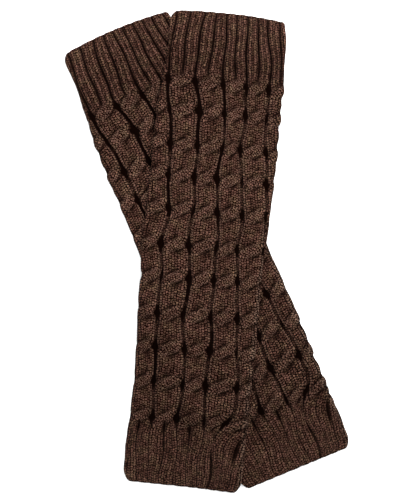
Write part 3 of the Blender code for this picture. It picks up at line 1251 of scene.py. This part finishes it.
@dataclass
class LegWarmer:
    """One warmer: its three knitted pieces in one wool."""

    layer: Layer
    finish: "WoolFinish"

    def build(self) -> list[bpy.types.Object]:
        """Build the pieces from the top down.

        Returns:
            The finished objects.
        """
        made = []
        for part in Part:
            wool = self.finish.material(f"{self.layer.value}_{part.value}_wool")
            made.append(KnittedPiece(self.layer, part, wool).build())
        return made


@dataclass(frozen=True)
class Speckle:
    """A noise in space: its scale, detail and roughness, and how sharply it is set off.

    What is read is the noise by gain, plus shift, held between 0 and 1.
    """

    scale: float
    detail: float = 2.0
    roughness: float = 0.6
    gain: float = 1.0
    shift: float = 0.0


class NodeSheet:
    """A small helper that places shader nodes and links them."""

    def __init__(self, tree: bpy.types.NodeTree) -> None:
        """Work on this node tree."""
        self.tree = tree

    def add(self, kind: str, *inputs: object, **settings: object) -> bpy.types.Node:
        """Add a node, set its settings, and link or set its inputs in order.

        Args:
            kind: The node's type.
            inputs: A socket to link, a value to set, or None to leave an input alone.
            settings: Attributes of the node.

        Returns:
            The node.
        """
        node = self.tree.nodes.new(kind)
        for key, value in settings.items():
            setattr(node, key, value)
        for socket, value in zip(node.inputs, inputs):
            if isinstance(value, bpy.types.NodeSocket):
                self.tree.links.new(value, socket)
            elif value is not None:
                socket.default_value = value
        return node

    def math(self, operation: str, *inputs: object, clamp: bool = False) -> bpy.types.NodeSocket:
        """The result of one step of arithmetic."""
        return self.add("ShaderNodeMath", *inputs, operation=operation, use_clamp=clamp).outputs[0]

    def mix(self, share: object, first: object, second: object) -> bpy.types.NodeSocket:
        """A mix of two colours.

        Args:
            share: How much of the second there is.
            first: A colour or a socket.
            second: A colour or a socket.

        Returns:
            The mixed colour's socket.
        """
        node = self.tree.nodes.new("ShaderNodeMix")
        node.data_type = "RGBA"
        sockets = [s for s in node.inputs if s.enabled]
        for socket, value in zip(sockets, (share, first, second)):
            if isinstance(value, bpy.types.NodeSocket):
                self.tree.links.new(value, socket)
            else:
                socket.default_value = value
        return [s for s in node.outputs if s.enabled][0]

    def attribute(self, name: str) -> bpy.types.NodeSocket:
        """The value of one of the mesh's attributes."""
        return self.add("ShaderNodeAttribute", attribute_name=name).outputs["Fac"]

    def noise(self, place: bpy.types.NodeSocket, speckle: Speckle) -> bpy.types.Node:
        """A speckle's bare noise in space."""
        settings = (speckle.scale, speckle.detail, speckle.roughness)
        return self.add("ShaderNodeTexNoise", place, None, *settings)

    def set_off(self, value: bpy.types.NodeSocket, speckle: Speckle) -> bpy.types.NodeSocket:
        """A speckle's noise as it is read."""
        return self.math("MULTIPLY_ADD", value, speckle.gain, speckle.shift, clamp=True)

    def speckle(self, place: bpy.types.NodeSocket, speckle: Speckle) -> bpy.types.NodeSocket:
        """A speckle at each place, from 0 to 1."""
        return self.set_off(self.noise(place, speckle).outputs["Fac"], speckle)


def knit_pattern_group() -> bpy.types.NodeTree:
    """The shader group of plain knit: the height of the yarn, the shade painted in its gaps and
    each stitch's tone.

    It has the mesh's own formula for a stitch: a rounded column, parted down its middle,
    that dips once a row. It adds the twist of the yarn, and one chance value a stitch.
    The gaps' painted shade is what the square of the height leaves free.

    Returns:
        The group, built once.
    """
    tree = bpy.data.node_groups.new("knit_pattern", "ShaderNodeTree")
    tree.interface.new_socket("Stitches", in_out="INPUT", socket_type="NodeSocketVector")
    tree.interface.new_socket("Row depth", in_out="INPUT", socket_type="NodeSocketFloat")
    for name in ("Height", "Gap shade", "Tone"):
        tree.interface.new_socket(name, in_out="OUTPUT", socket_type="NodeSocketFloat")
    sheet = NodeSheet(tree)
    given = tree.nodes.new("NodeGroupInput")
    parts = sheet.add("ShaderNodeSeparateXYZ", given.outputs["Stitches"])
    wale, row = parts.outputs[0], parts.outputs[1]
    inside = sheet.math("FRACT", wale)
    from_middle = sheet.math("ABSOLUTE", sheet.math("MULTIPLY_ADD", inside, 2.0, -1.0))
    quarter_turn = sheet.math("MULTIPLY", from_middle, math.pi / 2)
    column = sheet.math("SQRT", sheet.math("COSINE", quarter_turn))
    slope = sheet.math("MULTIPLY", from_middle, 1.0 / GAUGE.split_width)
    fall = sheet.math("MULTIPLY", sheet.math("MULTIPLY", slope, slope), -1.0)
    bell = sheet.math("POWER", math.e, fall)
    column = sheet.math("MULTIPLY_ADD", column, 1.0 - GAUGE.wale_floor, GAUGE.wale_floor)
    parted = sheet.math("MULTIPLY_ADD", bell, -GAUGE.split_depth, 1.0)
    odd = sheet.math("SINE", sheet.math("MULTIPLY", sheet.math("FLOOR", wale), math.pi / 2))
    slipped = sheet.math("MULTIPLY_ADD", odd, GAUGE.slip, row)
    slid = sheet.math("MULTIPLY_ADD", from_middle, GAUGE.lean, slipped)
    half_turn = sheet.math("MULTIPLY", slid, math.pi)
    wave = sheet.math("SQRT", sheet.math("ABSOLUTE", sheet.math("SINE", half_turn)))
    lost = sheet.math("MULTIPLY", sheet.math("SUBTRACT", 1.0, wave), given.outputs["Row depth"])
    dipped = sheet.math("SUBTRACT", 1.0, lost)
    stitch = sheet.math("MULTIPLY", sheet.math("MULTIPLY", column, parted), dipped)
    leaning = sheet.math("MULTIPLY", inside, GAUGE.twist_lean)
    turned = sheet.math("MULTIPLY_ADD", slid, 2 * math.pi * GAUGE.twists_per_row, leaning)
    height = sheet.math("MULTIPLY_ADD", sheet.math("SINE", turned), GAUGE.twist_share, stitch)
    # Painted shade in the gaps, where the yarn is low.
    square = sheet.math("MULTIPLY", stitch, stitch)
    gap_shade = sheet.math("MULTIPLY_ADD", square, -GAUGE.gap_shade_slope, GAUGE.gap_shade_start, clamp=True)
    across, down = sheet.math("FLOOR", wale), sheet.math("FLOOR", slid)
    cell = sheet.add("ShaderNodeCombineXYZ", across, down, 0.0).outputs[0]
    tone = sheet.add("ShaderNodeTexWhiteNoise", cell, noise_dimensions="3D").outputs["Value"]
    out = tree.nodes.new("NodeGroupOutput")
    tree.links.new(height, out.inputs["Height"])
    tree.links.new(gap_shade, out.inputs["Gap shade"])
    tree.links.new(tone, out.inputs["Tone"])
    return tree


@dataclass(frozen=True)
class WoolFinish:
    """Brown heather wool: its colours, among them the near-black of painted shade and the lighter
    colour of painted highlights, their shares, its noises and its surface.
    """

    light: Colour
    dark: Colour
    # Painted shade: the near-black colour of gaps and hollows.
    gap_shade: Colour
    # Painted highlight: the lighter colour of raised yarn and of the right fold.
    rub: Colour = (0.230, 0.150, 0.110, 1.0)
    olive: Colour = (0.220, 0.147, 0.082, 1.0)
    fold_highlight_share: float = 0.6
    proud_highlight_share: float = 0.50
    olive_share: float = 0.60
    gap_shade_share: float = 0.97
    hollow_shade_share: float = 0.998
    fleck_share: float = 0.62
    tone_share: float = 0.40
    heather_share: float = 0.18
    mottle: Speckle = Speckle(75.0, 4.0, 0.65, 2.2, -0.6)
    tints: Speckle = Speckle(150.0, 2.0, 0.5, 4.0, -1.7)
    flecks: Speckle = Speckle(620.0, 2.0, 0.7, 4.0, -1.6)
    fibres: Speckle = Speckle(1900.0, 2.0, 0.6, 1.4, -0.2)
    uneven: Speckle = Speckle(330.0)
    pull: float = 0.9
    roughness: float = 0.92
    specular: float = 0.004
    sheen: float = 0.003
    sheen_roughness: float = 0.5
    sheen_tint: Colour = (0.65, 0.48, 0.38, 1.0)
    fuzz: float = 0.45
    bump_strength: float = 0.7
    bump_distance: float = 0.0004

    def material(self, name: str) -> bpy.types.Material:
        """The wool's material.

        Stitch height and loose fibres feed the bump. The mesh's tone makes the wool lighter or
        darker down the warmer. Shade is painted into the colour in gaps and hollows, and highlights
        on raised yarn and along the right fold.

        Args:
            name: The material's name.

        Returns:
            The material.
        """
        material = bpy.data.materials.new(name)
        material.use_nodes = True
        tree = material.node_tree
        sheet = NodeSheet(tree)
        shader = tree.nodes["Principled BSDF"]
        shader.inputs["Roughness"].default_value = self.roughness
        shader.inputs["Specular IOR Level"].default_value = self.specular
        shader.inputs["Sheen Weight"].default_value = self.sheen
        shader.inputs["Sheen Roughness"].default_value = self.sheen_roughness
        shader.inputs["Sheen Tint"].default_value = self.sheen_tint
        place = sheet.add("ShaderNodeTexCoord").outputs["Object"]
        pattern = self.stitches(sheet, place)
        fibres = sheet.noise(place, self.fibres).outputs["Fac"]
        yarn = self.yarn(sheet, place, fibres, pattern.outputs["Tone"])
        shade = self.shade(sheet, place, pattern.outputs["Gap shade"])
        # Painted shade: gaps and hollows take the near-black colour.
        colour = sheet.mix(shade, yarn, self.gap_shade)
        toned = sheet.add("ShaderNodeVectorMath", colour, operation="SCALE")
        tree.links.new(sheet.attribute("tone"), toned.inputs["Scale"])
        tree.links.new(toned.outputs["Vector"], shader.inputs["Base Color"])
        fuzz = sheet.math("MULTIPLY_ADD", fibres, self.fuzz, pattern.outputs["Height"])
        bump = sheet.add("ShaderNodeBump")
        bump.inputs["Strength"].default_value = self.bump_strength
        bump.inputs["Distance"].default_value = self.bump_distance
        tree.links.new(fuzz, bump.inputs["Height"])
        tree.links.new(bump.outputs["Normal"], shader.inputs["Normal"])
        return material

    def stitches(self, sheet: NodeSheet, place: bpy.types.NodeSocket) -> bpy.types.Node:
        """The knit pattern on the mesh's stitches, each pulled a little aside by a noise.

        Args:
            sheet: Where the nodes go.
            place: Places on the object.

        Returns:
            The pattern's group node.
        """
        counted = sheet.add("ShaderNodeUVMap", uv_map="stitches").outputs["UV"]
        noise = sheet.noise(place, self.uneven).outputs["Color"]
        centred = sheet.add("ShaderNodeVectorMath", noise, (-0.5,) * 3, operation="ADD").outputs[0]
        pull = (self.pull,) * 3
        pulled = sheet.add("ShaderNodeVectorMath", centred, pull, counted, operation="MULTIPLY_ADD")
        deeper = GAUGE.row_depth - GAUGE.rib_row_depth
        depth = sheet.math("MULTIPLY_ADD", sheet.attribute("cabled"), deeper, GAUGE.rib_row_depth)
        pattern = sheet.tree.nodes.new("ShaderNodeGroup")
        pattern.node_tree = PATTERN
        sheet.tree.links.new(pulled.outputs["Vector"], pattern.inputs["Stitches"])
        sheet.tree.links.new(depth, pattern.inputs["Row depth"])
        return pattern

    def yarn(
        self,
        sheet: NodeSheet,
        place: bpy.types.NodeSocket,
        fibres: bpy.types.NodeSocket,
        chance: bpy.types.NodeSocket,
    ) -> bpy.types.NodeSocket:
        """The yarn's colour, before the shade painted in any gap or hollow darkens it.

        Mottle, heather and each stitch's chance value mix dark and light wool. Some patches have an
        olive tint. A highlight is painted on raised yarn and along the right fold.

        Args:
            sheet: Where the nodes go.
            place: Places on the object.
            fibres: The noise of the fibres.
            chance: One chance value a stitch.

        Returns:
            The colour.
        """
        mottle_share = 1.0 - self.tone_share - self.heather_share
        share = sheet.math("MULTIPLY", chance, self.tone_share)
        heather = sheet.set_off(fibres, self.fibres)
        share = sheet.math("MULTIPLY_ADD", heather, self.heather_share, share)
        mottle = sheet.speckle(place, self.mottle)
        share = sheet.math("MULTIPLY_ADD", mottle, mottle_share, share)
        yarn = sheet.mix(share, self.dark, self.light)
        olive = sheet.mix(share, self.dark, self.olive)
        tint = sheet.speckle(place, self.tints)
        yarn = sheet.mix(sheet.math("MULTIPLY", tint, self.olive_share), yarn, olive)
        # Painted highlights on raised yarn and along the right fold.
        for name, most in (("proud_highlight", self.proud_highlight_share), ("fold_highlight", self.fold_highlight_share)):
            lighter = sheet.math("MULTIPLY", sheet.attribute(name), most)
            yarn = sheet.mix(lighter, yarn, self.rub)
        return yarn

    def shade(
        self, sheet: NodeSheet, place: bpy.types.NodeSocket, gap_shade: bpy.types.NodeSocket
    ) -> bpy.types.NodeSocket:
        """How dark the wool is: shade painted in gaps and hollows, and dark flecks, together.

        What the painted shade of a gap and of a hollow each leave light is multiplied.

        Args:
            sheet: Where the nodes go.
            place: Places on the object.
            gap_shade: The shade painted in the gaps between the stitches' legs.

        Returns:
            The share of the near-black colour, which is painted shade in gaps and hollows and dark
            in flecks.
        """
        gap_shade_and_flecks = sheet.math("MULTIPLY", gap_shade, self.gap_shade_share)
        fleck = sheet.speckle(place, self.flecks)
        gap_shade_and_flecks = sheet.math("MULTIPLY_ADD", fleck, self.fleck_share, gap_shade_and_flecks, clamp=True)
        # Painted shade in the hollows, from the mesh.
        hollow_shade = sheet.attribute("hollow_shade")
        left = sheet.math("MULTIPLY_ADD", hollow_shade, -self.hollow_shade_share, 1.0)
        lit = sheet.math("MULTIPLY", sheet.math("SUBTRACT", 1.0, gap_shade_and_flecks), left)
        return sheet.math("SUBTRACT", 1.0, lit)


PATTERN = knit_pattern_group()


@dataclass(frozen=True)
class Lamp:
    """A square soft light that looks at the pair's middle."""

    name: str
    place: tuple[float, float, float]
    size: float
    watts: float

    def build(self) -> None:
        """Make the lamp and turn it from its place towards the origin."""
        light = bpy.data.lights.new(self.name, "AREA")
        light.shape = "SQUARE"
        light.size = self.size
        light.energy = self.watts
        lamp = bpy.data.objects.new(self.name, light)
        lamp.location = self.place
        x, y, z = self.place
        tilt = math.atan2(math.hypot(x, y), z)
        lamp.rotation_euler = (tilt, 0.0, math.atan2(-y, -x) - math.pi / 2)
        bpy.context.collection.objects.link(lamp)


@dataclass(frozen=True)
class Studio:
    """The white floor, the soft lights and the camera straight above."""

    camera_lens: float = 200.0
    sensor: float = 36.0
    pixel: float = 0.00085
    picture: tuple[int, int] = (400, 500)
    aim: tuple[float, float, float] = (-0.0059, 0.0014, 0.008)
    clip: tuple[float, float] = (0.05, 20.0)
    floor_size: float = 6.0
    floor_drop: float = 0.0002
    floor_roughness: float = 0.9
    floor_shades: tuple[float, float] = (0.95, 0.97)
    floor_grain: Speckle = Speckle(40.0, 3.0, 0.5)
    surround: float = 0.24
    lamps: tuple[Lamp, ...] = (
        Lamp("key_light", (0.30, 0.85, 0.95), 0.5, 20.0),
        Lamp("top_light", (0.10, 0.10, 1.60), 1.3, 60.0),
    )

    def floor(self) -> None:
        """A wide white floor just under the pair."""
        half = self.floor_size / 2
        sides = [(-half, -half), (half, -half), (half, half), (-half, half)]
        mesh = bpy.data.meshes.new("floor")
        mesh.from_pydata([(x, y, -self.floor_drop) for x, y in sides], [], [(0, 1, 2, 3)])
        material = bpy.data.materials.new("floor_paper")
        material.use_nodes = True
        sheet = NodeSheet(material.node_tree)
        place = sheet.add("ShaderNodeTexCoord").outputs["Object"]
        grain = sheet.noise(place, self.floor_grain).outputs["Fac"]
        shader = material.node_tree.nodes["Principled BSDF"]
        shader.inputs["Roughness"].default_value = self.floor_roughness
        grey, white = ((shade, shade, shade, 1.0) for shade in self.floor_shades)
        colour = sheet.mix(grain, grey, white)
        material.node_tree.links.new(colour, shader.inputs["Base Color"])
        mesh.materials.append(material)
        floor = bpy.data.objects.new("floor", mesh)
        bpy.context.collection.objects.link(floor)

    def lights(self) -> None:
        """The lamps, and a white surround."""
        for lamp in self.lamps:
            lamp.build()
        world = bpy.data.worlds.new("surround")
        world.use_nodes = True
        background = world.node_tree.nodes["Background"]
        background.inputs["Color"].default_value = (1.0, 1.0, 1.0, 1.0)
        background.inputs["Strength"].default_value = self.surround
        bpy.context.scene.world = world

    def camera(self) -> None:
        """A long lens straight above, framed to the picture's scale."""
        data = bpy.data.cameras.new("camera")
        data.lens = self.camera_lens
        data.sensor_width = self.sensor
        data.sensor_fit = "AUTO"
        away = self.camera_lens * self.picture[1] * self.pixel / self.sensor
        data.clip_start, data.clip_end = self.clip
        eye = bpy.data.objects.new("camera", data)
        eye.location = (self.aim[0], self.aim[1], self.aim[2] + away)
        bpy.context.collection.objects.link(eye)
        bpy.context.scene.camera = eye

    def build(self) -> None:
        """Set up the floor, lights, camera and plain colour view."""
        self.floor()
        self.lights()
        self.camera()
        bpy.context.scene.view_settings.view_transform = "Standard"


BROWN_WOOL = WoolFinish(
    light=(0.2260, 0.1090, 0.0810, 1.0),
    dark=(0.0450, 0.0187, 0.0130, 1.0),
    # The near-black colour of the painted shade.
    gap_shade=(0.0014, 0.0004, 0.0002, 1.0),
)


def main() -> None:
    """Build both warmers and the studio."""
    logging.basicConfig(level=logging.INFO, format="%(name)s %(message)s")
    for layer in Layer:
        for piece in LegWarmer(layer, BROWN_WOOL).build():
            LOG.info("%s done", piece.name)
    Studio().build()


if __name__ == "__main__":
    main()
